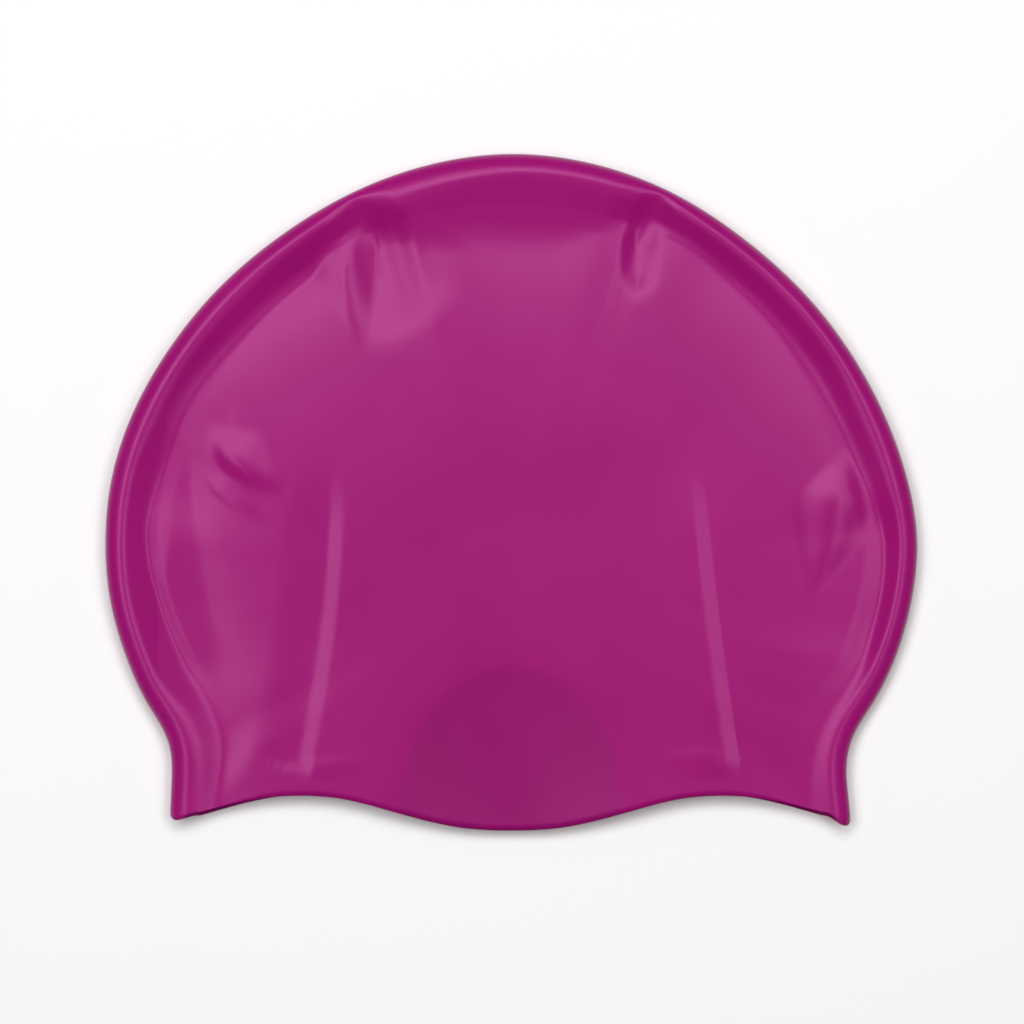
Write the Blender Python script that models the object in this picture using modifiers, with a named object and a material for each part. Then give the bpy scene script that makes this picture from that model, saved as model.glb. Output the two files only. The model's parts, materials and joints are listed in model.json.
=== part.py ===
"""Moulded silicone swim cap, folded flat on its side as it lies on a table.

One closed shell: an upper wall and a lower wall that run into each other round a
rounded fold, and part at the wavy mouth where the head goes in.
The crown points along +Y, the mouth along -Y, and +Z is up from the table.
Tables are in millimetres, the finished object is in metres.
"""

import math

import bmesh
import bpy
import numpy as np

MM = 0.001

# Driving dimensions of the cap, in millimetres
CAP_HEIGHT = 187.5
WALL = 0.8
FOLD_MIDDLE = 4.0
LOWER_ROUND = 4.2
TIP_ROUND = 2.8
TOP_LEVEL = CAP_HEIGHT / 2
MIDDLE_LEVEL = -25.0
SQUARE_TO_FOLD = (8.0, 26.0)

# Half widths of the flat outline at each level above the middle of the cap
OUTLINE = (
    # level, left, right
    (90.4, 24.2, 25.2),
    (82.1, 46.0, 46.4),
    (69.7, 65.9, 65.2),
    (57.2, 80.5, 79.3),
    (40.6, 94.3, 92.8),
    (24.0, 104.0, 102.3),
    (3.3, 110.9, 109.9),
    (-13.3, 112.5, 112.5),
    (-29.9, 111.2, 111.0),
    (-46.4, 106.5, 106.3),
    (-58.9, 100.7, 100.0),
    (-67.2, 95.9, 95.0),
    (-71.6, 94.5, 93.5),
    (-77.6, 94.1, 92.9),
    (-84.0, 94.3, 93.4),
    (-93.0, 94.7, 94.2),
)

# Wave of the mouth: level of the lower lip, and how far each wall's lip stays inside it
MOUTH = (
    # across, level, upper wall inset, lower wall inset
    (0.0, -93.75, 0.0, 1.2),
    (14.0, -92.9, 0.0, 1.2),
    (24.5, -90.7, 0.0, 1.1),
    (35.6, -87.6, 0.0, 0.9),
    (46.7, -84.9, 0.0, 0.6),
    (57.4, -84.1, 0.1, 0.2),
    (68.8, -85.2, 0.5, 0.0),
    (79.8, -87.9, 1.0, 0.0),
    (87.5, -90.1, 1.3, 0.0),
    (94.3, -91.9, 0.9, 0.0),
)

# Section lines from the mouth up to the fold, right half and mirrored for the left
SECTIONS = (
    # across at the mouth, distance round the fold from the crown, steps to the next row
    (0.0, 0.0, 8),
    (51.0, 32.0, 6),
    (63.0, 47.0, 10),
    (76.0, 185.0, 6),
    (82.0, 226.0, 6),
    (86.2, 252.2, 0),
)

# Rolled edge, the trough inside it, a low step, and the edge of the puffed panel, at places round the fold
RIM = (
    # round the fold, crest height, crest inset, trough inset, trough height,
    # step inset, step rise, step width, panel edge inset, softness of that edge
    (-250.0, 7.4, 4.4, 15.0, 6.0, 15.0, 0.0, 4.0, 19.0, 5.0),
    (-234.0, 7.6, 4.6, 15.0, 5.6, 16.0, 0.0, 4.0, 19.5, 4.0),
    (-218.0, 7.8, 4.6, 16.0, 5.0, 16.5, 0.0, 4.0, 21.5, 4.0),
    (-203.0, 8.1, 4.0, 13.5, 4.4, 16.7, 0.3, 3.0, 26.0, 3.0),
    (-192.0, 8.2, 3.8, 13.0, 4.3, 16.4, 0.55, 3.0, 28.5, 2.5),
    (-180.0, 8.2, 3.8, 13.0, 4.3, 15.8, 0.55, 3.0, 29.0, 2.2),
    (-165.0, 8.2, 3.8, 12.5, 4.3, 12.2, 0.3, 3.0, 26.5, 2.0),
    (-150.0, 8.2, 3.8, 12.5, 4.3, 12.2, 0.3, 4.0, 22.0, 1.6),
    (-138.0, 8.3, 3.7, 13.0, 4.2, 13.0, 0.3, 4.0, 17.5, 1.4),
    (-121.0, 8.3, 3.6, 13.5, 4.1, 13.0, 0.0, 4.0, 15.7, 1.0),
    (-95.0, 8.3, 3.6, 13.5, 4.0, 13.0, 0.0, 4.0, 14.2, 0.9),
    (-65.0, 8.2, 3.6, 12.5, 4.0, 13.0, 0.0, 4.0, 11.5, 1.0),
    (-44.0, 7.6, 3.4, 12.5, 4.2, 13.0, 0.0, 4.0, 12.0, 2.0),
    (-27.0, 8.2, 3.6, 17.5, 3.4, 13.0, 0.0, 4.0, 19.0, 3.5),
    (0.0, 8.3, 3.6, 23.0, 3.0, 13.0, 0.0, 4.0, 25.0, 6.0),
    (27.0, 8.2, 3.6, 17.5, 3.4, 13.0, 0.0, 4.0, 18.0, 3.5),
    (44.0, 7.6, 3.4, 12.5, 4.2, 13.0, 0.0, 4.0, 12.0, 2.0),
    (65.0, 8.2, 3.6, 12.5, 4.0, 13.0, 0.0, 4.0, 12.4, 0.9),
    (92.0, 8.3, 3.6, 13.0, 4.0, 13.0, 0.0, 4.0, 12.9, 1.0),
    (118.0, 8.3, 3.6, 13.0, 4.1, 13.0, 0.0, 4.0, 15.0, 3.0),
    (138.0, 8.3, 3.7, 13.0, 4.2, 13.0, 0.2, 4.0, 17.0, 1.4),
    (155.0, 8.2, 3.8, 12.0, 4.3, 12.5, 0.2, 4.0, 18.4, 1.4),
    (166.0, 8.2, 3.8, 11.0, 4.4, 11.0, 0.6, 6.0, 19.0, 2.5),
    (180.0, 8.2, 3.8, 10.5, 4.4, 11.0, 1.0, 6.0, 26.0, 5.0),
    (198.0, 8.2, 3.8, 10.5, 4.4, 11.3, 0.9, 6.0, 27.0, 5.0),
    (209.0, 8.0, 4.1, 12.0, 4.8, 12.0, 0.3, 6.0, 22.0, 5.0),
    (222.0, 7.8, 4.6, 12.0, 5.6, 14.0, 0.0, 6.0, 17.0, 5.0),
    (234.0, 7.6, 4.6, 11.0, 6.0, 15.0, 0.0, 6.0, 17.0, 5.0),
    (250.0, 7.4, 4.4, 11.0, 6.0, 15.0, 0.0, 4.0, 19.0, 5.0),
)
CROWN_LIP_SHARE = 0.12
SIDE_LIP_SHARE = 0.45
LIP_SPREAD = (12.0, 60.0)
LIP_REACH = 9.0
PANEL_REACH = 66.0

# Height of the puffed middle of the upper wall, from the crown down to the mouth
PANEL = (
    # level, height
    (93.0, 7.0),
    (60.0, 8.2),
    (30.0, 9.2),
    (0.0, 9.9),
    (-30.0, 10.3),
    (-50.0, 10.3),
    (-70.0, 10.3),
    (-95.0, 10.0),
)
FOLD_END_WIDTH = 0.35
PANEL_SIDE_DROP = 1.0
PANEL_SIDE = 112.0

# Dents, ridges and ribs: each follows a bowed line, rises or falls by its height, and fades at its ends
FOLDS = (
    # name, start x, y, end x, y, bow, left width, right width, height, start fade, end fade
    ("left crown dent", -39.5, 80.0, -42.5, 41.5, -4.0, 6.5, 24.0, -2.6, 0.3, 0.5),
    ("left dent edge", -42.5, 76.0, -42.8, 43.0, 4.2, 3.0, 2.0, 0.4, 0.3, 0.3),
    ("right crown dent", 36.0, 80.0, 33.5, 53.0, 1.0, 4.5, 6.5, -2.2, 0.3, 0.35),
    ("right inner dent", 25.5, 72.0, 24.5, 56.0, 0.0, 3.0, 4.0, -0.5, 0.4, 0.5),
    ("left upper wrinkle", -84.5, 19.5, -66.0, 2.5, 3.0, 5.0, 6.0, -1.6, 0.3, 0.4),
    ("left lower wrinkle", -85.5, 4.0, -71.0, -7.0, 1.0, 4.0, 4.0, -0.7, 0.3, 0.5),
    ("right side fold", 91.5, 10.0, 71.0, -17.0, -1.5, 4.0, 9.0, 1.6, 0.15, 0.5),
    ("right side notch", 85.0, -12.5, 73.0, -19.0, 0.0, 4.0, 4.0, -1.0, 0.4, 0.4),
    ("left cross rib", -57.0, -76.8, -35.0, -72.6, 0.0, 1.8, 1.8, 0.4, 0.2, 0.6),
    ("right cross rib", 40.0, -74.5, 58.0, -71.8, 0.0, 1.8, 1.8, 0.3, 0.4, 0.3),
)

# Ribs moulded down the wall: a shallow slope on the left of each, then a crisp slanted face
RIBS = (
    # name, start x, y, end x, y, bow, slope width, face width, height, start fade, end fade
    ("left rib", -48.9, 10.0, -58.0, -77.0, -2.5, 14.0, 4.0, -0.7, 0.25, 0.03),
    ("right rib", 50.6, 10.0, 61.2, -78.0, 1.0, 14.0, 4.0, 0.6, 0.25, 0.03),
)

# Scoop in the upper wall over the middle of the mouth
SCOOP_LEVEL = -88.0
SCOOP_HALF_WIDTH = 33.0
SCOOP_RISE = 44.0
SCOOP_EDGE = 0.1
SCOOP_DEPTH = 3.0

# Steps of the surface grid from the fold inwards, then on to the mouth
EDGE_STEPS = (0.0, 0.35, 1.2, 2.4, 3.8, 5.2, 7.0, 9.0, 11.5, 14.5, 18.5)
LOWER_EDGE_STEPS = (0.0, 0.35, 1.2, 2.6, 4.4)
UPPER_ROWS = 25
LOWER_ROWS = 9
SHORT_SECTION = 40.0
FOLD_SAMPLES = 900


def spline(knots, values, at):
    """Natural cubic spline through the knots, read at the given places."""
    knots, values = np.asarray(knots, float), np.asarray(values, float)
    count, steps = len(knots), np.diff(knots)
    matrix, right = np.eye(count), np.zeros(count)
    for i in range(1, count - 1):
        matrix[i, i - 1 : i + 2] = steps[i - 1], 2 * (steps[i - 1] + steps[i]), steps[i]
        right[i] = 6 * ((values[i + 1] - values[i]) / steps[i] - (values[i] - values[i - 1]) / steps[i - 1])
    bend = np.linalg.solve(matrix, right)
    i = np.clip(np.searchsorted(knots, at) - 1, 0, count - 2)
    a, b = (knots[i + 1] - at) / steps[i], (at - knots[i]) / steps[i]
    curve = ((a**3 - a) * bend[i] + (b**3 - b) * bend[i + 1]) * steps[i] ** 2 / 6
    return a * values[i] + b * values[i + 1] + curve


def smooth(low, high, value):
    """Rises from 0 at low to 1 at high, level at both ends."""
    t = np.clip((value - low) / (high - low), 0, 1)
    return t * t * (3 - 2 * t)


def eased(table, column, at):
    """A column of a table read at the given places, on a smooth curve that never overshoots its rows."""
    rows = sorted(table)
    keys, values = np.array([row[0] for row in rows]), np.array([row[column] for row in rows])
    steps = np.diff(keys)
    rises = np.diff(values) / steps
    turning = rises[:-1] * rises[1:] <= 0
    total = np.where(turning, 1.0, rises[:-1] + rises[1:])
    slopes = np.concatenate([[0.0], np.where(turning, 0.0, 2 * rises[:-1] * rises[1:] / total), [0.0]])
    i = np.clip(np.searchsorted(keys, at) - 1, 0, len(steps) - 1)
    t = np.clip((at - keys[i]) / steps[i], 0, 1)
    level = values[i] + (values[i + 1] - values[i]) * t * t * (3 - 2 * t)
    return level + steps[i] * (slopes[i] * t * (1 - t) ** 2 - slopes[i + 1] * t * t * (1 - t))


def fold_line():
    """The line round the fold from the left tip over the crown to the right tip, and its length from the crown."""
    left = [(-row[1], row[0]) for row in reversed(OUTLINE)]
    right = [(row[2], row[0]) for row in OUTLINE]
    points = np.array(left + [(0.0, TOP_LEVEL)] + right)
    chords = np.concatenate([[0], np.cumsum(np.hypot(*np.diff(points, axis=0).T))])
    at = np.linspace(0, chords[-1], FOLD_SAMPLES)
    line = np.stack([spline(chords, points[:, k], at) for k in (0, 1)], axis=1)
    length = np.concatenate([[0], np.cumsum(np.hypot(*np.diff(line, axis=0).T))])
    crown = length[np.argmax(line[:, 1])]
    return line, length - crown


def seen_from_middle(line):
    """Direction, distance and squareness of each point of the fold, seen from the middle of the cap."""
    x, y = line[:, 0], line[:, 1] - MIDDLE_LEVEL
    run = np.gradient(line, axis=0)
    square = (x * run[:, 1] - y * run[:, 0]) / np.hypot(x, y) / np.hypot(run[:, 0], run[:, 1])
    return np.arctan2(x, y), np.hypot(x, y), np.abs(square)


FOLD, ROUND = fold_line()
DIRECTION, REACH, SQUARE = seen_from_middle(FOLD)


def mouth(across, column):
    """Level of a lip of the mouth: column 2 for the upper wall, 3 for the lower."""
    rows = MOUTH[:0:-1] + MOUTH
    keys = [-row[0] for row in MOUTH[:0:-1]] + [row[0] for row in MOUTH]
    level = spline(keys, [row[1] for row in rows], across)
    return level + spline(keys, [row[column] for row in rows], across)


def from_fold(x, y):
    """How far each point lies inside the fold, and its place round the fold.

    Near the fold both are read square to it. Further in they follow lines from the
    middle of the cap, so that they change smoothly all over the panel.
    """
    along = np.diff(FOLD, axis=0)
    lengths = np.hypot(along[:, 0], along[:, 1])
    units = along / lengths[:, None]
    best, place = np.full(x.shape, np.inf), np.zeros(x.shape)
    last = len(along) - 1
    for i in range(last + 1):
        rx, ry = x - FOLD[i, 0], y - FOLD[i, 1]
        t = rx * units[i, 0] + ry * units[i, 1]
        t = np.clip(t, -np.inf if i == 0 else 0, np.inf if i == last else lengths[i])
        away = np.hypot(rx - t * units[i, 0], ry - t * units[i, 1])
        nearer = away < best
        best = np.where(nearer, away, best)
        place = np.where(nearer, ROUND[i] + t, place)
    direction = np.arctan2(x, y - MIDDLE_LEVEL)
    inset = np.interp(direction, DIRECTION, REACH) - np.hypot(x, y - MIDDLE_LEVEL)
    inset = inset * np.interp(direction, DIRECTION, SQUARE)
    inward = smooth(*SQUARE_TO_FOLD, best)
    return best + (inset - best) * inward, place + (np.interp(direction, DIRECTION, ROUND) - place) * inward


def beside(x, y, fold):
    """How far along a row's bowed line each point lies, from 0 to 1, and how far to its right."""
    _, x0, y0, x1, y1, bow = fold[:6]
    long = math.hypot(x1 - x0, y1 - y0)
    ux, uy = (x1 - x0) / long, (y1 - y0) / long
    along = ((x - x0) * ux + (y - y0) * uy) / long
    inside = np.clip(along, 0, 1)
    aside = (y - y0) * ux - (x - x0) * uy + 4 * bow * inside * (1 - inside)
    fade_in, fade_out = fold[9:]
    return aside, smooth(0, fade_in, along) * smooth(0, fade_out, 1 - along)


def fold_height(x, y, fold):
    """Height that one row of the table of dents and ridges adds at each point."""
    aside, ends = beside(x, y, fold)
    left, right, height = fold[6:9]
    width = np.where(aside < 0, left, right) * (FOLD_END_WIDTH + (1 - FOLD_END_WIDTH) * ends)
    return height * ends * (1 - smooth(0, 1, np.abs(aside) / width))


def rib_height(x, y, rib):
    """Height that one rib adds: it sinks or rises slowly up to the edge of its face, which runs back straight."""
    aside, ends = beside(x, y, rib)
    slope, face, height = rib[6:9]
    return height * ends * np.where(aside < 0, 1 - smooth(0, 1, -aside / slope), 1 - np.clip(aside / face, 0, 1))


def scoop(x, y):
    """Depth of the scoop over the middle of the mouth."""
    inside = 1 - np.hypot(x / SCOOP_HALF_WIDTH, (y - SCOOP_LEVEL) / SCOOP_RISE)
    return SCOOP_DEPTH * (inside + np.hypot(inside, SCOOP_EDGE)) / 2


def upper_height(x, y):
    """Height of the outside of the upper wall."""
    inset, place = from_fold(x, y)
    crest, crest_inset, trough_inset, trough = (eased(RIM, k, place) for k in range(1, 5))
    step_inset, step_rise, step_width, edge, softness = (eased(RIM, k, place) for k in range(5, 10))
    round_in = np.clip(1 - inset / crest_inset, 0, 1)
    rolled = FOLD_MIDDLE + (crest - FOLD_MIDDLE) * np.sqrt(1 - round_in**2)
    rolled += (trough - crest) * smooth(crest_inset, trough_inset, inset)
    rolled += step_rise * smooth(step_inset - step_width / 2, step_inset + step_width / 2, inset)
    panel = eased(PANEL, 1, y) - PANEL_SIDE_DROP * (x / PANEL_SIDE) ** 2
    past = (inset - edge + np.hypot(inset - edge, softness)) / 2
    lip = CROWN_LIP_SHARE + (SIDE_LIP_SHARE - CROWN_LIP_SHARE) * smooth(*LIP_SPREAD, np.abs(place))
    swell = 1 - lip * np.exp(-past / LIP_REACH)
    swell -= (1 - lip) * (1 - np.clip(past / PANEL_REACH, 0, 1)) ** 2
    height = rolled + (panel - trough - step_rise) * swell
    relief = -scoop(x, y)
    for fold in FOLDS:
        relief = relief + fold_height(x, y, fold)
    for rib in RIBS:
        relief = relief + rib_height(x, y, rib)
    return height + relief * smooth(0, crest_inset, inset)


def lower_height(x, y):
    """Height of the outside of the lower wall, which lies flat inside its rounded edge."""
    inset, _ = from_fold(x, y)
    round_in = np.clip(1 - inset / LOWER_ROUND, 0, 1)
    return FOLD_MIDDLE * (1 - np.sqrt(1 - round_in**2))


def section_places():
    """Where each section line meets the mouth and the fold, from the left tip to the right."""
    half = [(0.0, 0.0)]
    for (x0, s0, steps), (x1, s1, _) in zip(SECTIONS, SECTIONS[1:]):
        half += [(x0 + (x1 - x0) * k / steps, s0 + (s1 - s0) * k / steps) for k in range(1, steps + 1)]
    return [(-x, -s) for x, s in half[:0:-1]] + half


def section_line(across, place, column):
    """Plan of one section line, from the fold to a lip of the mouth, as closely spaced points."""
    i = int(np.argmin(np.abs(ROUND - place)))
    i = min(max(i, 1), len(ROUND) - 2)
    start = np.array([np.interp(place, ROUND, FOLD[:, 0]), np.interp(place, ROUND, FOLD[:, 1])])
    run = FOLD[i + 1] - FOLD[i - 1]
    inward = np.array([run[1], -run[0]]) / np.hypot(*run)
    end = np.array([across, mouth(np.array([across]), column)[0]])
    reach = np.hypot(*(end - start))
    rise = np.array([0.0, -1.0]) * smooth(8.0, 60.0, reach) + inward * (1 - smooth(8.0, 60.0, reach))
    t = np.linspace(0, 1, 240)[:, None]
    line = (2 * t**3 - 3 * t**2 + 1) * start + (t**3 - 2 * t**2 + t) * inward * reach
    return line + (3 * t**2 - 2 * t**3) * end + (t**3 - t**2) * rise * reach


def read_along(line, edge_steps, rows):
    """Grid points along one section line: close together by the fold, then even to the mouth."""
    length = np.concatenate([[0], np.cumsum(np.hypot(*np.diff(line, axis=0).T))])
    full = max(length[-1], SHORT_SECTION)
    rest = np.linspace(edge_steps[-1], full, rows - len(edge_steps) + 1)[1:]
    at = np.concatenate([edge_steps, rest]) * length[-1] / full
    return np.stack([np.interp(at, length, line[:, k]) for k in (0, 1)], axis=1)


def round_tips(points, places):
    """Draws the lips back along the fold where they wrap round it at the two tips."""
    inset, place = from_fold(points[..., 0], points[..., 1])
    back = TIP_ROUND * (1 - np.sqrt(1 - np.clip(1 - inset / TIP_ROUND, 0, 1) ** 2))
    near = np.abs(np.array(places)[:, 1])
    back = back * smooth(SECTIONS[-2][1], SECTIONS[-1][1], near)[:, None]
    drawn = place - np.copysign(back, place)
    for k in (0, 1):
        points[..., k] += np.interp(drawn, ROUND, FOLD[:, k]) - np.interp(place, ROUND, FOLD[:, k])
    return points


def cap_surface():
    """Outside of the cap as rows of points: one row a section, from the upper lip round the fold to the lower."""
    places = section_places()
    upper = np.array([read_along(section_line(x, s, 2), EDGE_STEPS, UPPER_ROWS) for x, s in places])
    lower = np.array([read_along(section_line(x, s, 3), LOWER_EDGE_STEPS, LOWER_ROWS) for x, s in places])
    top = np.dstack([upper, upper_height(upper[..., 0], upper[..., 1])])
    base = np.dstack([lower, lower_height(lower[..., 0], lower[..., 1])])
    top, base = round_tips(top, places), round_tips(base, places)
    return np.concatenate([top[:, ::-1], base[:, 1:]], axis=1)


def silicone():
    """Satin magenta silicone rubber."""
    material = bpy.data.materials.new("magenta_silicone")
    material.use_nodes = True
    shader = material.node_tree.nodes["Principled BSDF"]
    shader.inputs["Base Color"].default_value = (0.38, 0.012, 0.19, 1.0)
    shader.inputs["Roughness"].default_value = 0.45
    shader.inputs["Metallic"].default_value = 0.0
    return material


def cap_shell(collection):
    """The whole cap: a grid bent into the folded cap, with its wall built inwards."""
    surface = cap_surface()
    sections, rows = surface.shape[:2]
    grid = bmesh.new()
    bmesh.ops.create_grid(grid, x_segments=sections - 1, y_segments=rows - 1, size=1.0)
    for vertex in grid.verts:
        i = round((vertex.co.x + 1) / 2 * (sections - 1))
        j = round((vertex.co.y + 1) / 2 * (rows - 1))
        vertex.co = surface[i, j] * MM
    mesh = bpy.data.meshes.new("cap_shell")
    grid.to_mesh(mesh)
    grid.free()
    mesh.shade_smooth()
    shell = bpy.data.objects.new("cap_shell", mesh)
    collection.objects.link(shell)
    mesh.materials.append(silicone())
    wall = shell.modifiers.new("wall", "SOLIDIFY")
    wall.thickness = WALL * MM
    wall.offset = -1.0
    wall.use_even_offset = True
    return shell


def main():
    for thing in list(bpy.data.objects):
        bpy.data.objects.remove(thing, do_unlink=True)
    collection = bpy.data.collections.new("swim_cap")
    bpy.context.scene.collection.children.link(collection)
    cap_shell(collection)


main()
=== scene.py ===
"""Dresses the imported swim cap: a moulded silicone cap folded flat on its side, in soft studio light."""

import json
import math

import bmesh
import bpy
import numpy as np
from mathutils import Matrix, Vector

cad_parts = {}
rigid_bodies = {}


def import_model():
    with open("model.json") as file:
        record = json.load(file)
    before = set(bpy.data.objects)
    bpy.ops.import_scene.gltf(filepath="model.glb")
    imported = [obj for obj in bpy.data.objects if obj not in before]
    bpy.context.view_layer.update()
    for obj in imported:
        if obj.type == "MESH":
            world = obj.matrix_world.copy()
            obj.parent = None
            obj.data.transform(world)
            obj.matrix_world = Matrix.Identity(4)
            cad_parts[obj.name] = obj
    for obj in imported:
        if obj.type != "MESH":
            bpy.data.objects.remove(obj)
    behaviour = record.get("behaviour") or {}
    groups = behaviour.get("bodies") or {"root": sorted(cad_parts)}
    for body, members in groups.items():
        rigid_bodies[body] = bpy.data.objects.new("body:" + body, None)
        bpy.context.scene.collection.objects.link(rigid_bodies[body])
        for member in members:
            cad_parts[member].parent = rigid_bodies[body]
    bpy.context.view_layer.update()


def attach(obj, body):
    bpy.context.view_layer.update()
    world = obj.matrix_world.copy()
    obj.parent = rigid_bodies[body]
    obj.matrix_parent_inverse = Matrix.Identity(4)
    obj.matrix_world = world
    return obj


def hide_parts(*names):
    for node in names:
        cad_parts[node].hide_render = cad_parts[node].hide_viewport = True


bl_info = {
    "name": "Folded swim cap",
    "version": (1, 0, 0),
    "blender": (4, 5, 0),
    "location": "View3D > Sidebar > Swim cap",
    "description": "Builds a moulded silicone swim cap that lies folded flat on its side",
    "category": "Object",
}

for startup_object in list(bpy.data.objects):
    bpy.data.objects.remove(startup_object, do_unlink=True)
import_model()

MM = 0.001
CAD_NODE = "cap_shell"
BODY = "root"

# The flat outline: half widths at each level above or below the frame's middle. All sizes are in millimetres
OUTLINE = (
    # level, left, right
    (90.4, 24.2, 25.2),
    (82.1, 46.0, 46.4),
    (69.7, 65.9, 65.2),
    (57.2, 80.5, 79.3),
    (40.6, 94.3, 92.8),
    (24.0, 104.0, 102.3),
    (3.3, 110.9, 109.9),
    (-13.3, 112.5, 112.5),
    (-29.9, 111.2, 111.0),
    (-46.4, 106.5, 106.3),
    (-58.9, 100.7, 100.0),
    (-67.2, 95.9, 95.0),
    (-71.6, 94.5, 93.5),
    (-77.6, 94.1, 92.9),
    (-84.0, 94.3, 93.4),
    (-93.0, 94.7, 94.2),
)
TOP_LEVEL = 93.75
FOLD_SAMPLES = 900

# Up to the first of these insets a point is measured square to the fold, and past the second from this middle
MIDDLE_LEVEL = -25.0
SQUARE_TO_FOLD = (8.0, 26.0)

# Wave of the mouth: level of the lower lip, and how far each wall's lip stays inside it
MOUTH = (
    # across, level, upper wall inset, lower wall inset
    (0.0, -93.75, 0.0, 1.2),
    (14.0, -92.9, 0.0, 1.2),
    (24.5, -90.7, 0.0, 1.1),
    (35.6, -87.6, 0.0, 0.9),
    (46.7, -84.9, 0.0, 0.6),
    (57.4, -84.1, 0.1, 0.2),
    (68.8, -85.2, 0.5, 0.0),
    (79.8, -87.9, 1.0, 0.0),
    (87.5, -90.1, 1.3, 0.0),
    (94.3, -91.9, 0.9, 0.0),
)

# Section lines from the mouth up to the fold, right half and mirrored for the left
SECTIONS = (
    # across at the mouth, distance round the fold from the crown, steps to the next row
    (0.0, 0.0, 36),
    (51.0, 32.0, 14),
    (63.0, 47.0, 80),
    (76.0, 185.0, 24),
    (82.0, 226.0, 14),
    (86.2, 252.2, 0),
)
SECTION_SAMPLES = 240
SQUARE_TO_MOUTH = (8.0, 60.0)
# How far from the fold the first rows of a section line lie. The rest are spread evenly to the mouth
EDGE_STEPS = tuple(np.concatenate([np.linspace(0, 3.2, 9), np.linspace(3.5, 19.1, 40)]))
LOWER_EDGE_STEPS = tuple(np.linspace(0, 4.4, 7))
UPPER_ROWS = 134
LOWER_ROWS = 12
SHORT_SECTION = 40.0

# Rolled crest of the upper wall and its fall to the valley inside it, at places round the fold
RIM = (
    # round the fold, crest height, crest inset, ease in, steepness, ease out, slope kept at the valley
    (-252.0, 7.6, 5.2, 6.0, 0.40, 3.0, 0.4),
    (-232.0, 7.9, 5.4, 6.0, 0.50, 2.0, 0.6),
    (-212.0, 8.2, 5.6, 3.0, 0.54, 2.0, 0.8),
    (-190.0, 8.3, 5.5, 2.8, 0.53, 1.2, 0.8),
    (-172.0, 8.3, 5.5, 2.8, 0.55, 1.5, 0.8),
    (-152.0, 8.3, 5.5, 3.0, 0.55, 2.5, 0.7),
    (-133.0, 8.3, 5.5, 4.0, 0.50, 4.0, 0.4),
    (-113.0, 8.3, 5.5, 3.6, 0.54, 5.0, 0.3),
    (-93.0, 8.3, 5.4, 4.4, 0.60, 4.5, 0.35),
    (-76.0, 8.2, 5.1, 3.6, 0.64, 4.5, 0.35),
    (-58.0, 8.0, 4.6, 3.0, 0.60, 2.5, 0.2),
    (-47.0, 6.8, 2.8, 3.0, 0.44, 4.0, 0.1),
    (-40.0, 7.4, 4.6, 4.0, 0.36, 6.0, 0.0),
    (-33.0, 8.2, 7.2, 4.0, 0.32, 6.0, 0.0),
    (-15.0, 8.4, 7.0, 3.0, 0.30, 8.0, 0.0),
    (0.0, 8.4, 6.2, 2.6, 0.30, 8.0, 0.0),
    (15.0, 8.4, 5.8, 3.4, 0.32, 7.0, 0.0),
    (29.0, 8.3, 5.4, 4.5, 0.36, 5.0, 0.0),
    (36.0, 7.8, 4.4, 4.5, 0.42, 4.0, 0.0),
    (43.0, 6.8, 2.8, 3.0, 0.50, 3.0, 0.1),
    (50.0, 7.7, 4.0, 3.0, 0.60, 3.0, 0.2),
    (60.0, 8.1, 4.6, 3.0, 0.66, 3.0, 0.2),
    (92.0, 8.3, 4.9, 3.4, 0.66, 4.5, 0.3),
    (110.0, 8.3, 5.0, 3.0, 0.60, 4.5, 0.3),
    (130.0, 8.3, 5.3, 4.0, 0.54, 3.0, 0.5),
    (150.0, 8.1, 5.4, 3.2, 0.52, 2.5, 0.5),
    (165.0, 7.8, 5.5, 2.0, 0.68, 1.4, 0.6),
    (190.0, 7.8, 5.5, 2.0, 0.68, 1.4, 0.6),
    (212.0, 7.6, 5.5, 2.2, 0.50, 2.5, 0.2),
    (232.0, 7.4, 5.3, 2.4, 0.32, 4.0, 0.0),
    (252.0, 7.4, 5.1, 2.4, 0.26, 4.0, 0.0),
)
CREST_ROUND = 1.8

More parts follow.
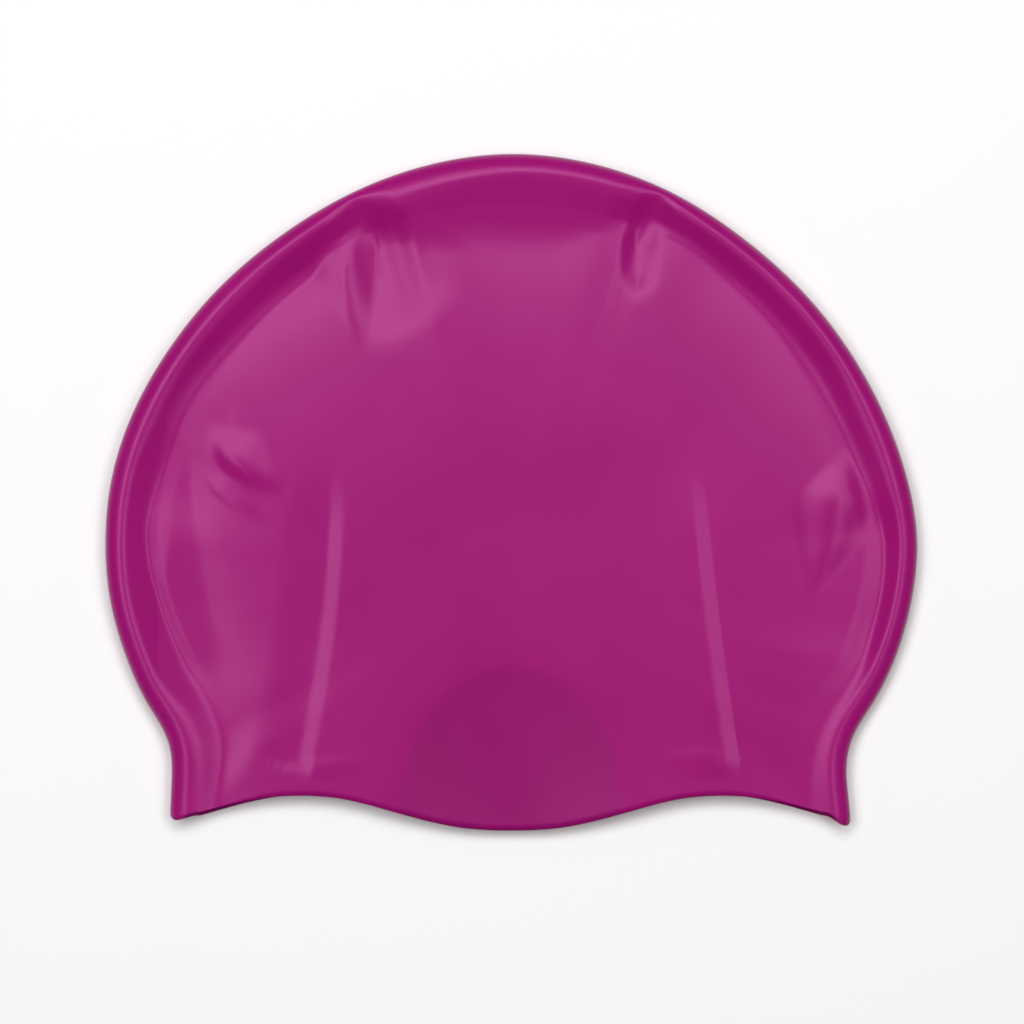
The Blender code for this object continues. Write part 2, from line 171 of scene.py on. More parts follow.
# Valley inside the crest, the raised band past it and the edge of the panel, at places round the fold
PANEL_EDGE = (
    # round the fold, valley inset, softness, band width, band rise, edge inset, softness, lip rise, reach
    (-252.0, 13.5, 2.0, 4.0, 0.0, 15.0, 5.0, 0.25, 18.0),
    (-232.0, 14.8, 1.5, 4.0, 0.0, 16.5, 4.5, 0.12, 16.0),
    (-218.0, 14.6, 0.8, 3.4, 0.15, 21.0, 4.5, 0.1, 12.0),
    (-205.0, 14.2, 0.3, 3.4, 0.35, 26.0, 3.0, 0.25, 10.0),
    (-190.0, 13.4, 0.15, 3.4, 0.4, 27.0, 1.5, 0.8, 10.0),
    (-176.0, 12.0, 0.2, 5.0, 0.35, 27.0, 1.4, 0.9, 10.0),
    (-168.0, 11.5, 0.3, 7.0, 0.3, 26.0, 1.3, 0.9, 10.0),
    (-152.0, 13.0, 0.4, 5.0, 0.0, 23.0, 1.2, 0.8, 10.0),
    (-140.0, 13.7, 0.6, 5.0, 0.0, 20.0, 1.1, 0.7, 10.0),
    (-135.0, 13.3, 0.6, 5.0, 0.0, 18.2, 1.0, 0.65, 10.0),
    (-128.0, 13.0, 0.6, 5.0, 0.0, 16.4, 0.9, 0.6, 10.0),
    (-95.0, 14.4, 0.7, 5.0, 0.0, 15.0, 0.9, 0.5, 10.0),
    (-70.0, 14.2, 0.8, 5.0, 0.0, 14.2, 1.0, 0.5, 10.0),
    (-58.0, 11.0, 1.0, 5.0, 0.0, 11.0, 1.1, 0.2, 12.0),
    (-50.0, 11.0, 1.5, 5.0, 0.0, 11.0, 1.5, 0.12, 14.0),
    (-40.0, 15.0, 2.0, 5.0, 0.0, 15.0, 2.0, 0.2, 16.0),
    (-28.0, 20.5, 2.5, 5.0, 0.0, 21.5, 2.5, 0.1, 18.0),
    (-15.0, 23.7, 3.0, 5.0, 0.0, 26.0, 3.0, 0.1, 18.0),
    (0.0, 24.8, 3.0, 5.0, 0.0, 27.5, 3.0, 0.1, 18.0),
    (15.0, 23.2, 2.5, 5.0, 0.0, 25.5, 2.5, 0.1, 18.0),
    (29.0, 18.5, 1.8, 5.0, 0.0, 19.5, 1.8, 0.1, 18.0),
    (38.0, 13.5, 2.0, 5.0, 0.0, 13.5, 2.0, 0.2, 16.0),
    (45.0, 10.8, 1.5, 5.0, 0.0, 11.0, 1.6, 0.1, 14.0),
    (58.0, 10.6, 1.2, 5.0, 0.0, 11.5, 1.6, 0.15, 12.0),
    (75.0, 12.2, 0.8, 5.0, 0.0, 12.4, 1.0, 0.4, 10.0),
    (92.0, 12.6, 0.7, 5.0, 0.0, 12.8, 0.9, 0.4, 10.0),
    (110.0, 13.2, 1.2, 5.0, 0.0, 14.0, 1.6, 0.25, 12.0),
    (128.0, 12.6, 0.7, 5.0, 0.0, 16.6, 0.9, 0.4, 12.0),
    (140.0, 12.2, 0.6, 5.0, 0.0, 17.3, 0.7, 0.6, 12.0),
    (150.0, 11.6, 0.6, 5.0, 0.1, 17.6, 0.8, 0.7, 12.0),
    (161.0, 10.2, 0.5, 5.5, 0.4, 18.5, 2.5, 0.6, 12.0),
    (170.0, 9.4, 0.4, 5.5, 0.62, 20.5, 3.0, 0.6, 12.0),
    (190.0, 8.9, 0.3, 6.0, 0.7, 26.0, 4.0, 0.3, 12.0),
    (205.0, 8.9, 0.5, 6.0, 0.5, 26.0, 4.0, 0.2, 12.0),
    (216.0, 9.4, 1.2, 6.0, 0.2, 22.0, 4.5, 0.2, 12.0),
    (228.0, 11.0, 2.2, 5.0, 0.05, 18.0, 5.0, 0.2, 12.0),
    (252.0, 14.0, 3.0, 5.0, 0.0, 17.0, 5.0, 0.3, 12.0),
)
VALLEY_LEVEL = 4.4
LIP_REACH = 5.5
SHELF_FALL = 0.05

# The fold: the level of its middle, and how far in the lower wall and the two tips are rounded
FOLD_MIDDLE = 4.0
LOWER_ROUND = 4.2
TIP_ROUND = 2.8

# Slow swell of the panel: an oval dome over the crown and the sides, level along the mouth.
# It starts and ends at these shares of the way in from the oval's rim
PANEL_HEIGHT = 7.1
SWELL_SIDE = 112.5
SWELL_CROWN = 107.0
SWELL_LEVEL = -13.3
SWELL_START = 0.13
SWELL_END = 0.76

# Scoop in the upper wall over the middle of the mouth
SCOOP_LEVEL = -88.0
SCOOP_HALF_WIDTH = 34.0
SCOOP_RISE = 44.0
SCOOP_EDGE = 0.05
SCOOP_ROUND = 0.3
SCOOP_DEPTH = 3.4

# Painted shade: inside the scoop the silicone's colour is made deeper, standing in for the shade of the sunken
# wall
SCOOP_SHADE = "scoop_and_painted_shade"
SCOOP_SHADE_EDGE = 0.07
SCOOP_SHADE_TONE = 0.87

# Dents, ridges, wrinkles and ribs: each follows a bowed line over the upper wall.
# Left and right are the picture's, for a line that runs down it. A turn gives the profile of its side: 0 is
# smooth, 1 straight and 2 hollow. Fades are shares of the length, and the end width is what is left of both
# widths where the line has faded out
LINES = (
    # name, start, end, bow, left width, right width, rise,
    # start fade, end fade, left turn, right turn, end width
    ("left_crown_dent", (-36.8, 79.0), (-40.4, 37.5), -0.9, 6.4, 27.0, -2.2, 0.28, 0.58, 1, 0, 0.4),
    ("left_dent_edge", (-42.2, 75.0), (-42.2, 40.0), 3.6, 2.2, 1.6, 0.35, 0.35, 0.35, 1, 1, 0.3),
    ("right_crown_dent", (34.8, 77.0), (35.0, 53.0), 0.0, 4.6, 7.0, -1.1, 0.35, 0.35, 1, 1, 0.6),
    ("left_wrinkle", (-83.5, 19.0), (-62.0, 1.0), 3.8, 4.6, 12.0, 1.5, 0.45, 0.5, 1, 0, 0.5),
    ("left_lower_wrinkle", (-86.0, 5.0), (-67.0, -8.5), 1.0, 2.6, 6.0, 0.5, 0.35, 0.5, 0, 0, 0.3),
    ("left_upper_wrinkle", (-79.0, 26.0), (-67.0, 9.5), 1.0, 3.0, 5.0, 0.15, 0.4, 0.5, 0, 0, 0.3),
    ("right_side_fold", (91.4, 13.0), (82.0, -31.0), -3.0, 13.0, 10.0, 1.8, 0.36, 0.6, 0, 0, 0.25),
    ("left_cross_rib", (-57.0, -76.4), (-35.0, -74.4), 0.0, 2.4, 2.4, 0.36, 0.1, 0.7, 0, 0, 0.6),
    ("right_cross_rib", (40.0, -74.5), (58.0, -72.6), 0.0, 2.4, 2.4, 0.28, 0.5, 0.1, 0, 0, 0.6),
    ("left_rib", (-49.9, 10.0), (-59.6, -77.5), -2.4, 14.0, 4.0, -0.52, 0.25, 0.02, 0, 1, 0.8),
    ("right_rib", (49.2, 10.0), (59.8, -78.0), 1.0, 14.0, 4.0, 0.58, 0.25, 0.02, 0, 1, 0.8),
)
LINE_POINTS = 160

# The share of that relief that a point takes: none on the fold and on the lower wall
TAKES = "takes_relief"

# Cloudiness of the silicone: its size, the part of the noise that is used, and how far tone and polish swing
CLOUD_SIZE = 0.035
CLOUD_NOISE = (0.1, 0.9)
CLOUD_TONE = (0.94, 1.06)
CLOUD_POLISH = 0.04
GRAIN_DEPTH = 0.04

# Softboxes stand in a ring, nearly overhead, and hardly any light comes from the mouth's side
SOFTBOXES = (
    # name, direction round the cap in degrees, share of the full power
    ("crown", 90, 1.0),
    ("crown_left", 135, 0.9),
    ("left", 180, 0.9),
    ("crown_right", 45, 0.62),
    ("right", 0, 0.7),
    ("mouth_left", 225, 0.1),
    ("mouth_right", 315, 0.05),
    ("mouth", 270, 0.05),
)

# Camera: sensor in millimetres, and in metres the middle of the frame and its width at the level of the wall
SENSOR = 36.0
FRAME_MIDDLE = (0.0002, -0.0055)
FRAME_WIDTH = 0.28305
FRAME_LEVEL = 0.008


def linear(colour):
    """Linear colour of an sRGB hex value, as the shaders take it."""
    parts = [int(colour[i : i + 2], 16) / 255 for i in (0, 2, 4)]
    return tuple(p / 12.92 if p <= 0.04045 else ((p + 0.055) / 1.055) ** 2.4 for p in parts)


def add_node(tree, kind, inputs=None, **settings):
    """Adds a node, applies its settings, and links or fills each input that is given by name or place."""
    node = tree.nodes.new(kind)
    for name, value in settings.items():
        setattr(node, name, value)
    for key, value in (inputs or {}).items():
        if isinstance(value, bpy.types.NodeSocket):
            tree.links.new(value, node.inputs[key])
        else:
            node.inputs[key].default_value = value
    return node


def spline(knots, values, at):
    """Natural cubic spline through the knots, read at the given places."""
    knots, values = np.asarray(knots, float), np.asarray(values, float)
    count, steps = len(knots), np.diff(knots)
    matrix, right = np.eye(count), np.zeros(count)
    for i in range(1, count - 1):
        matrix[i, i - 1 : i + 2] = steps[i - 1], 2 * (steps[i - 1] + steps[i]), steps[i]
        right[i] = 6 * ((values[i + 1] - values[i]) / steps[i] - (values[i] - values[i - 1]) / steps[i - 1])
    bend = np.linalg.solve(matrix, right)
    i = np.clip(np.searchsorted(knots, at) - 1, 0, count - 2)
    a, b = (knots[i + 1] - at) / steps[i], (at - knots[i]) / steps[i]
    curve = ((a**3 - a) * bend[i] + (b**3 - b) * bend[i + 1]) * steps[i] ** 2 / 6
    return a * values[i] + b * values[i + 1] + curve


def smooth(low, high, value):
    """Rises from 0 at low to 1 at high, level at both ends."""
    t = np.clip((value - low) / (high - low), 0, 1)
    return t * t * (3 - 2 * t)


def eased(table, column, at):
    """A column of a table read at the given places, on a smooth curve that never overshoots its rows."""
    keys, values = np.array([row[0] for row in table]), np.array([row[column] for row in table])
    steps = np.diff(keys)
    rises = np.diff(values) / steps
    turning = rises[:-1] * rises[1:] <= 0
    total = np.where(turning, 1.0, rises[:-1] + rises[1:])
    slopes = np.concatenate([[0.0], np.where(turning, 0.0, 2 * rises[:-1] * rises[1:] / total), [0.0]])
    i = np.clip(np.searchsorted(keys, at) - 1, 0, len(steps) - 1)
    t = np.clip((at - keys[i]) / steps[i], 0, 1)
    level = values[i] + (values[i + 1] - values[i]) * t * t * (3 - 2 * t)
    return level + steps[i] * (slopes[i] * t * (1 - t) ** 2 - slopes[i + 1] * t * t * (1 - t))


def fold_line():
    """The line round the fold, from the left tip over the crown to the right, and its length from the crown."""
    left = [(-row[1], row[0]) for row in reversed(OUTLINE)]
    right = [(row[2], row[0]) for row in OUTLINE]
    points = np.array(left + [(0.0, TOP_LEVEL)] + right)
    chords = np.concatenate([[0], np.cumsum(np.hypot(*np.diff(points, axis=0).T))])
    at = np.linspace(0, chords[-1], FOLD_SAMPLES)
    line = np.stack([spline(chords, points[:, k], at) for k in (0, 1)], axis=1)
    length = np.concatenate([[0], np.cumsum(np.hypot(*np.diff(line, axis=0).T))])
    crown = length[np.argmax(line[:, 1])]
    return line, length - crown


def seen_from_middle(line):
    """Direction, distance and squareness of each point of the fold, seen from the middle of the cap."""
    x, y = line[:, 0], line[:, 1] - MIDDLE_LEVEL
    run = np.gradient(line, axis=0)
    square = (x * run[:, 1] - y * run[:, 0]) / np.hypot(x, y) / np.hypot(run[:, 0], run[:, 1])
    return np.arctan2(x, y), np.hypot(x, y), np.abs(square)


FOLD, ROUND = fold_line()
DIRECTION, REACH, SQUARE = seen_from_middle(FOLD)


def mouth(across, column):
    """Level of a lip of the mouth: column 2 for the upper wall, 3 for the lower."""
    rows = MOUTH[:0:-1] + MOUTH
    keys = [-row[0] for row in MOUTH[:0:-1]] + [row[0] for row in MOUTH]
    level = spline(keys, [row[1] for row in rows], across)
    return level + spline(keys, [row[column] for row in rows], across)


def from_fold(x, y):
    """How far each point lies inside the fold, and its place round the fold.

    Near the fold both are read square to it. Further in they follow lines from the
    middle of the cap, so that they change smoothly all over the panel.
    """
    along = np.diff(FOLD, axis=0)
    lengths = np.hypot(along[:, 0], along[:, 1])
    units = along / lengths[:, None]
    best, place = np.full(x.shape, np.inf), np.zeros(x.shape)
    last = len(along) - 1
    for i in range(last + 1):
        rx, ry = x - FOLD[i, 0], y - FOLD[i, 1]
        t = rx * units[i, 0] + ry * units[i, 1]
        t = np.clip(t, -np.inf if i == 0 else 0, np.inf if i == last else lengths[i])
        away = np.hypot(rx - t * units[i, 0], ry - t * units[i, 1])
        nearer = away < best
        best = np.where(nearer, away, best)
        place = np.where(nearer, ROUND[i] + t, place)
    direction = np.arctan2(x, y - MIDDLE_LEVEL)
    inset = np.interp(direction, DIRECTION, REACH) - np.hypot(x, y - MIDDLE_LEVEL)
    inset = inset * np.interp(direction, DIRECTION, SQUARE)
    inward = smooth(*SQUARE_TO_FOLD, best)
    return best + (inset - best) * inward, place + (np.interp(direction, DIRECTION, ROUND) - place) * inward


def scoop(x, y):
    """Share of the scoop over the middle of the mouth: 0 outside it, 1 at its middle."""
    outward = np.hypot(x / SCOOP_HALF_WIDTH, (y - SCOOP_LEVEL) / SCOOP_RISE)
    inside = 1 - np.hypot(outward, SCOOP_ROUND)
    return (inside + np.hypot(inside, SCOOP_EDGE)) / 2


def eased_run(distance, width):
    """Run of a slope that eases in over a width: 0 before it, and in step with the distance past it."""
    return np.where(distance < width, np.clip(distance, 0, None) ** 2 / (2 * width), distance - width / 2)


def upper_wall(x, y):
    """Height of the upper wall before its dents and ribs, its share of their relief, and its share of the
    painted shade in the scoop.
    """
    inset, place = from_fold(x, y)
    crest, crest_inset, ease_in, steepness, ease_out, kept = (eased(RIM, k, place) for k in range(1, 7))
    valley, valley_softness, band_width, band_rise = (eased(PANEL_EDGE, k, place) for k in range(1, 5))
    edge, edge_softness, lip, settling = (eased(PANEL_EDGE, k, place) for k in range(5, 9))
    past_valley = (inset - valley + np.hypot(inset - valley, valley_softness)) / 2
    past_edge = (inset - edge + np.hypot(inset - edge, edge_softness)) / 2
    round_in = np.clip(1 - inset / crest_inset, 0, 1)
    rolled = FOLD_MIDDLE + (crest - FOLD_MIDDLE) * np.sqrt(1 - round_in**2)
    start = crest_inset - CREST_ROUND
    down = inset - past_valley - start
    run = eased_run(down, ease_in) - (1 - kept) * eased_run(down - (valley - start - ease_out), ease_out)
    rolled -= steepness * run
    rolled += band_rise * smooth(0, 1, (inset - valley) / band_width)
    rolled -= SHELF_FALL * np.clip(inset - past_edge - valley - band_width, 0, None)
    oval = np.hypot(x / SWELL_SIDE, np.clip(y - SWELL_LEVEL, 0, None) / SWELL_CROWN)
    swell = 1 - (1 - np.clip((1 - oval - SWELL_START) / (SWELL_END - SWELL_START), 0, 1)) ** 2
    height = VALLEY_LEVEL + (rolled - VALLEY_LEVEL) * np.exp(-past_edge / settling)
    height += lip * (1 - np.exp(-past_edge / LIP_REACH))
    height += (PANEL_HEIGHT - VALLEY_LEVEL - lip) * swell
    takes = smooth(0, crest_inset, inset)
    # The scoop's share sinks the wall, and the same share masks the painted shade that darkens the colour there
    scoop_and_painted_shade = scoop(x, y)
    return height - SCOOP_DEPTH * scoop_and_painted_shade * takes, takes, smooth(0, SCOOP_SHADE_EDGE, scoop_and_painted_shade - SCOOP_EDGE / 2)


def lower_wall(x, y):
    """Height of the lower wall, which lies flat inside its rounded edge."""
    inset, _ = from_fold(x, y)
    round_in = np.clip(1 - inset / LOWER_ROUND, 0, 1)
    return FOLD_MIDDLE * (1 - np.sqrt(1 - round_in**2))


def section_places():
    """Where each section line meets the mouth and the fold, from the left tip to the right."""
    half = [(0.0, 0.0)]
    for (x0, s0, steps), (x1, s1, _) in zip(SECTIONS, SECTIONS[1:]):
        half += [(x0 + (x1 - x0) * k / steps, s0 + (s1 - s0) * k / steps) for k in range(1, steps + 1)]
    return [(-x, -s) for x, s in half[:0:-1]] + half


def section_line(across, place, column):
    """Plan of one section line, from the fold to a lip of the mouth, as closely spaced points."""
    i = int(np.argmin(np.abs(ROUND - place)))
    i = min(max(i, 1), len(ROUND) - 2)
    start = np.array([np.interp(place, ROUND, FOLD[:, 0]), np.interp(place, ROUND, FOLD[:, 1])])
    run = FOLD[i + 1] - FOLD[i - 1]
    inward = np.array([run[1], -run[0]]) / np.hypot(*run)
    end = np.array([across, mouth(np.array([across]), column)[0]])
    reach = np.hypot(*(end - start))
    down = smooth(*SQUARE_TO_MOUTH, reach)
    rise = np.array([0.0, -1.0]) * down + inward * (1 - down)
    t = np.linspace(0, 1, SECTION_SAMPLES)[:, None]
    line = (2 * t**3 - 3 * t**2 + 1) * start + (t**3 - 2 * t**2 + t) * inward * reach
    return line + (3 * t**2 - 2 * t**3) * end + (t**3 - t**2) * rise * reach


def read_along(line, edge_steps, rows):
    """Grid points along one section line: close together by the fold, then even to the mouth."""
    length = np.concatenate([[0], np.cumsum(np.hypot(*np.diff(line, axis=0).T))])
    full = max(length[-1], SHORT_SECTION)
    rest = np.linspace(edge_steps[-1], full, rows - len(edge_steps) + 1)[1:]
    at = np.concatenate([edge_steps, rest]) * length[-1] / full
    return np.stack([np.interp(at, length, line[:, k]) for k in (0, 1)], axis=1)


def round_tips(points, places):
    """Draws the lips back along the fold where they wrap round it at the two tips."""
    inset, place = from_fold(points[..., 0], points[..., 1])
    back = TIP_ROUND * (1 - np.sqrt(1 - np.clip(1 - inset / TIP_ROUND, 0, 1) ** 2))
    near = np.abs(np.array(places)[:, 1])
    back = back * smooth(SECTIONS[-2][1], SECTIONS[-1][1], near)[:, None]
    drawn = place - np.copysign(back, place)
    for k in (0, 1):
        points[..., k] += np.interp(drawn, ROUND, FOLD[:, k]) - np.interp(place, ROUND, FOLD[:, k])
    return points


def cap_surface():
    """Outside of the cap as rows of points, one row a section from lip to lip, with their relief and their share
    of the painted shade in the scoop.
    """
    places = section_places()
    upper = np.array([read_along(section_line(x, s, 2), EDGE_STEPS, UPPER_ROWS) for x, s in places])
    lower = np.array([read_along(section_line(x, s, 3), LOWER_EDGE_STEPS, LOWER_ROWS) for x, s in places])
    none = np.zeros(lower.shape[:2])
    top = np.dstack([upper, *upper_wall(upper[..., 0], upper[..., 1])])
    base = np.dstack([lower, lower_wall(lower[..., 0], lower[..., 1]), none, none])
    top, base = round_tips(top, places), round_tips(base, places)
    return np.concatenate([top[:, ::-1], base[:, 1:]], axis=1)


def silicone(colour, gloss_colour, roughness, grain):
    """Silicone rubber, press moulded in a satin blasted mould.

    The eye gets one strong colour all through, darkened by painted shade inside the scoop over the mouth,
    a soft wide sheen that keeps some of that colour, and a fine even grain that only breaks up the edges of the
    sheen.
    """
    material = bpy.data.materials.new("moulded_silicone_rubber")
    material.use_nodes = True
    tree = material.node_tree
    tree.nodes.clear()
    place = add_node(tree, "ShaderNodeTexCoord").outputs["Object"]
    clouds = add_node(tree, "ShaderNodeTexNoise", {"Vector": place, "Scale": 1 / CLOUD_SIZE, "Detail": 2.0})
    read = {"Value": clouds.outputs["Fac"], "From Min": CLOUD_NOISE[0], "From Max": CLOUD_NOISE[1]}
    tone = add_node(tree, "ShaderNodeMapRange", {**read, "To Min": CLOUD_TONE[0], "To Max": CLOUD_TONE[1]})
    # Painted shade: the colour is made darker inside the scoop, by the share that the sheet carries as an
    # attribute
    scoop_and_painted_shade = add_node(tree, "ShaderNodeAttribute", attribute_name=SCOOP_SHADE).outputs["Fac"]
    painted_shade = add_node(tree, "ShaderNodeMapRange", {"Value": scoop_and_painted_shade, "To Min": 1.0, "To Max": SCOOP_SHADE_TONE})
    tone = add_node(
        tree, "ShaderNodeMath", {0: tone.outputs["Result"], 1: painted_shade.outputs["Result"]}, operation="MULTIPLY"
    )
    pigment_with_painted_shade = add_node(
        tree, "ShaderNodeHueSaturation", {"Color": (*linear(colour), 1.0), "Value": tone.outputs["Value"]}
    )
    swing = {"To Min": roughness - CLOUD_POLISH, "To Max": roughness + CLOUD_POLISH}
    polish = add_node(tree, "ShaderNodeMapRange", {**read, **swing})
    fine = add_node(tree, "ShaderNodeTexNoise", {"Vector": place, "Scale": 1 / grain, "Detail": 1.0})
    bump = {"Height": fine.outputs["Fac"], "Strength": 0.15, "Distance": GRAIN_DEPTH * MM}
    bump = add_node(tree, "ShaderNodeBump", bump)
    shader = add_node(
        tree,
        "ShaderNodeBsdfPrincipled",
        {
            "Base Color": pigment_with_painted_shade.outputs["Color"],
            "Roughness": polish.outputs["Result"],
            "Normal": bump.outputs["Normal"],
            "Specular IOR Level": 0.5,
            "Specular Tint": (*linear(gloss_colour), 1.0),
            "IOR": 1.43,
        },
    )
    add_node(tree, "ShaderNodeOutputMaterial", {"Surface": shader.outputs["BSDF"]})
    return material


def moulded_line():
    """Node tree that raises or sinks a sheet along one bowed line, with its own profile on either side."""
    tree = bpy.data.node_groups.new("moulded_line", "GeometryNodeTree")
    tree.is_modifier = True
    tree.interface.new_socket("Sheet", in_out="OUTPUT", socket_type="NodeSocketGeometry")
    sockets = [("Sheet", "Geometry"), ("Start", "Vector"), ("Middle", "Vector"), ("End", "Vector")]
    numbers = ("Left width", "Right width", "Rise", "Start fade", "End fade", "End width")
    numbers += ("Left turn", "Right turn")
    sockets += [(name, "Float") for name in numbers] + [("Finish", "Material")]
    for name, kind in sockets:
        tree.interface.new_socket(name, in_out="INPUT", socket_type="NodeSocket" + kind)
    given = add_node(tree, "NodeGroupInput").outputs
    ends = {key: given[key] for key in ("Start", "Middle", "End")}
    bow = add_node(tree, "GeometryNodeCurveQuadraticBezier", {"Resolution": LINE_POINTS, **ends})
    path = add_node(tree, "GeometryNodeResampleCurve", {"Curve": bow.outputs["Curve"], "Count": LINE_POINTS})
    path = path.outputs["Curve"]
    trace = add_node(tree, "GeometryNodeCurveToMesh", {"Curve": path}).outputs["Mesh"]
    position = add_node(tree, "GeometryNodeInputPosition").outputs["Position"]
    flat = add_node(tree, "ShaderNodeVectorMath", {0: position, 1: (1.0, 1.0, 0.0)}, operation="MULTIPLY")
    flat = flat.outputs["Vector"]
    nearest = add_node(
        tree, "GeometryNodeSampleNearest", {"Geometry": trace, "Sample Position": flat}, domain="POINT"
    ).outputs["Index"]
    tangent = add_node(tree, "GeometryNodeInputTangent").outputs["Tangent"]
    factor = add_node(tree, "GeometryNodeSplineParameter").outputs["Factor"]
    read = {
        name: add_node(
            tree,
            "GeometryNodeSampleIndex",
            {"Geometry": path, "Index": nearest, "Value": value},
            data_type=kind,
            domain="POINT",
        ).outputs["Value"]
        for name, value, kind in (
            ("point", position, "FLOAT_VECTOR"),
            ("tangent", tangent, "FLOAT_VECTOR"),
            ("factor", factor, "FLOAT"),
        )
    }
    away = add_node(tree, "ShaderNodeVectorMath", {0: flat, 1: read["point"]}, operation="SUBTRACT")
    away = away.outputs["Vector"]
    cross = add_node(tree, "ShaderNodeVectorMath", {0: read["tangent"], 1: away}, operation="CROSS_PRODUCT")
    left = add_node(tree, "ShaderNodeSeparateXYZ", {"Vector": cross.outputs["Vector"]}).outputs["Z"]
    length = add_node(tree, "GeometryNodeCurveLength", {"Curve": path}).outputs["Length"]
    ahead = add_node(tree, "ShaderNodeVectorMath", {0: away, 1: read["tangent"]}, operation="DOT_PRODUCT")
    ahead = add_node(tree, "ShaderNodeMath", {0: ahead.outputs["Value"], 1: length}, operation="DIVIDE")
    along = add_node(tree, "ShaderNodeMath", {0: read["factor"], 1: ahead.outputs["Value"]}, operation="ADD")
    along = along.outputs["Value"]
    back = add_node(tree, "ShaderNodeMath", {0: 1.0, 1: along}, operation="SUBTRACT").outputs["Value"]
    softly = {"interpolation_type": "SMOOTHSTEP"}
    fades = [
        add_node(tree, "ShaderNodeMapRange", {"Value": value, "From Max": fade}, **softly).outputs["Result"]
        for value, fade in ((along, given["Start fade"]), (back, given["End fade"]))
    ]
    strength = add_node(tree, "ShaderNodeMath", {0: fades[0], 1: fades[1]}, operation="MULTIPLY")
    strength = strength.outputs["Value"]
    taper = add_node(tree, "ShaderNodeMapRange", {"Value": strength, "To Min": given["End width"]})
    on_left = add_node(tree, "ShaderNodeMath", {0: left, 1: 0.0}, operation="GREATER_THAN").outputs["Value"]
    width, turn = (
        add_node(tree, "ShaderNodeMix", {"Factor": on_left, "A": right_value, "B": left_value}).outputs["Result"]
        for right_value, left_value in (
            (given["Right width"], given["Left width"]),
            (given["Right turn"], given["Left turn"]),
        )
    )
    width = add_node(tree, "ShaderNodeMath", {0: width, 1: taper.outputs["Result"]}, operation="MULTIPLY")
    aside = add_node(tree, "ShaderNodeMath", {0: left}, operation="ABSOLUTE").outputs["Value"]
    part = add_node(tree, "ShaderNodeMath", {0: aside, 1: width.outputs["Value"]}, operation="DIVIDE")
    near = {0: 1.0, 1: part.outputs["Value"]}
    near = add_node(tree, "ShaderNodeMath", near, operation="SUBTRACT", use_clamp=True).outputs["Value"]
    soft = add_node(tree, "ShaderNodeMapRange", {"Value": near}, **softly).outputs["Result"]
    hard = add_node(tree, "ShaderNodeMath", {0: near, 1: turn}, operation="POWER").outputs["Value"]
    profile = add_node(tree, "ShaderNodeMix", {"Factor": turn, "A": soft, "B": hard}).outputs["Result"]
    takes = add_node(tree, "GeometryNodeInputNamedAttribute", {"Name": TAKES}, data_type="FLOAT")
    lift = given["Rise"]
    for value in (strength, profile, takes.outputs["Attribute"]):
        lift = add_node(tree, "ShaderNodeMath", {0: lift, 1: value}, operation="MULTIPLY").outputs["Value"]
    offset = add_node(tree, "ShaderNodeCombineXYZ", {"Z": lift}).outputs["Vector"]
    moved = add_node(tree, "GeometryNodeSetPosition", {"Geometry": given["Sheet"], "Offset": offset})
    real = add_node(tree, "GeometryNodeRealizeInstances", {"Geometry": moved.outputs["Geometry"]})
    finished = add_node(
        tree, "GeometryNodeSetMaterial", {"Geometry": real.outputs["Geometry"], "Material": given["Finish"]}
    )
    add_node(tree, "NodeGroupOutput", {"Sheet": finished.outputs["Geometry"]})
    return tree


def fill_inputs(modifier, values):
    """Sets a node modifier's inputs, given by name, through their identifiers."""
    for item in modifier.node_group.interface.items_tree:
        if item.in_out == "INPUT" and item.name in values:
            modifier[item.identifier] = values[item.name]


def press_line(piece, tree, row, finish):
    """Gives a piece the modifier for one row of the table of lines.

    The tree looks along the line. A line that runs down has the right of the picture on its left.
    """
    name, start, end, bow, left, right, rise, start_fade, end_fade, left_turn, right_turn, end_width = row
    run = Vector(end) - Vector(start)
    beside = Vector((run.y, -run.x)).normalized()
    middle = (Vector(start) + Vector(end)) / 2 + beside * 2 * bow
    modifier = piece.modifiers.new(name, "NODES")
    modifier.node_group = tree
    values = {
        "Start": (start[0] * MM, start[1] * MM, 0.0),
        "Middle": (middle.x * MM, middle.y * MM, 0.0),
        "End": (end[0] * MM, end[1] * MM, 0.0),
        "Left width": right * MM,
        "Right width": left * MM,
        "Rise": rise * MM,
        "Start fade": start_fade,
        "End fade": end_fade,
        "Left turn": float(right_turn),
        "Right turn": float(left_turn),
        "End width": end_width,
        "Finish": finish,
    }
    fill_inputs(modifier, values)


def made_plain(piece):
    """Turns what the modifiers make into the piece's own mesh."""
    graph = bpy.context.evaluated_depsgraph_get()
    made = piece.evaluated_get(graph)
    plain = bpy.data.meshes.new_from_object(made, preserve_all_data_layers=True, depsgraph=graph)
    piece.modifiers.clear()
    piece.data = plain
    plain.name = piece.name


def cap_sheet(surface):
    """The outside of the cap as one sheet, with each point's share of the relief and its share of the painted
    shade in the scoop.
    """
    sections, rows = surface.shape[:2]
    grid = bmesh.new()
    bmesh.ops.create_grid(grid, x_segments=sections - 1, y_segments=rows - 1, size=1.0)
    shares = []
    for vertex in grid.verts:
        i = round((vertex.co.x + 1) / 2 * (sections - 1))
        j = round((vertex.co.y + 1) / 2 * (rows - 1))
        vertex.co = surface[i, j, :3] * MM
        shares.append(surface[i, j, 3:])
    mesh = bpy.data.meshes.new("swim_cap")
    grid.to_mesh(mesh)
    grid.free()
    mesh.shade_smooth()
    for name, values in zip((TAKES, SCOOP_SHADE), np.transpose(shares)):
        mesh.attributes.new(name, "FLOAT", "POINT").data.foreach_set("value", np.ascontiguousarray(values))
    return mesh


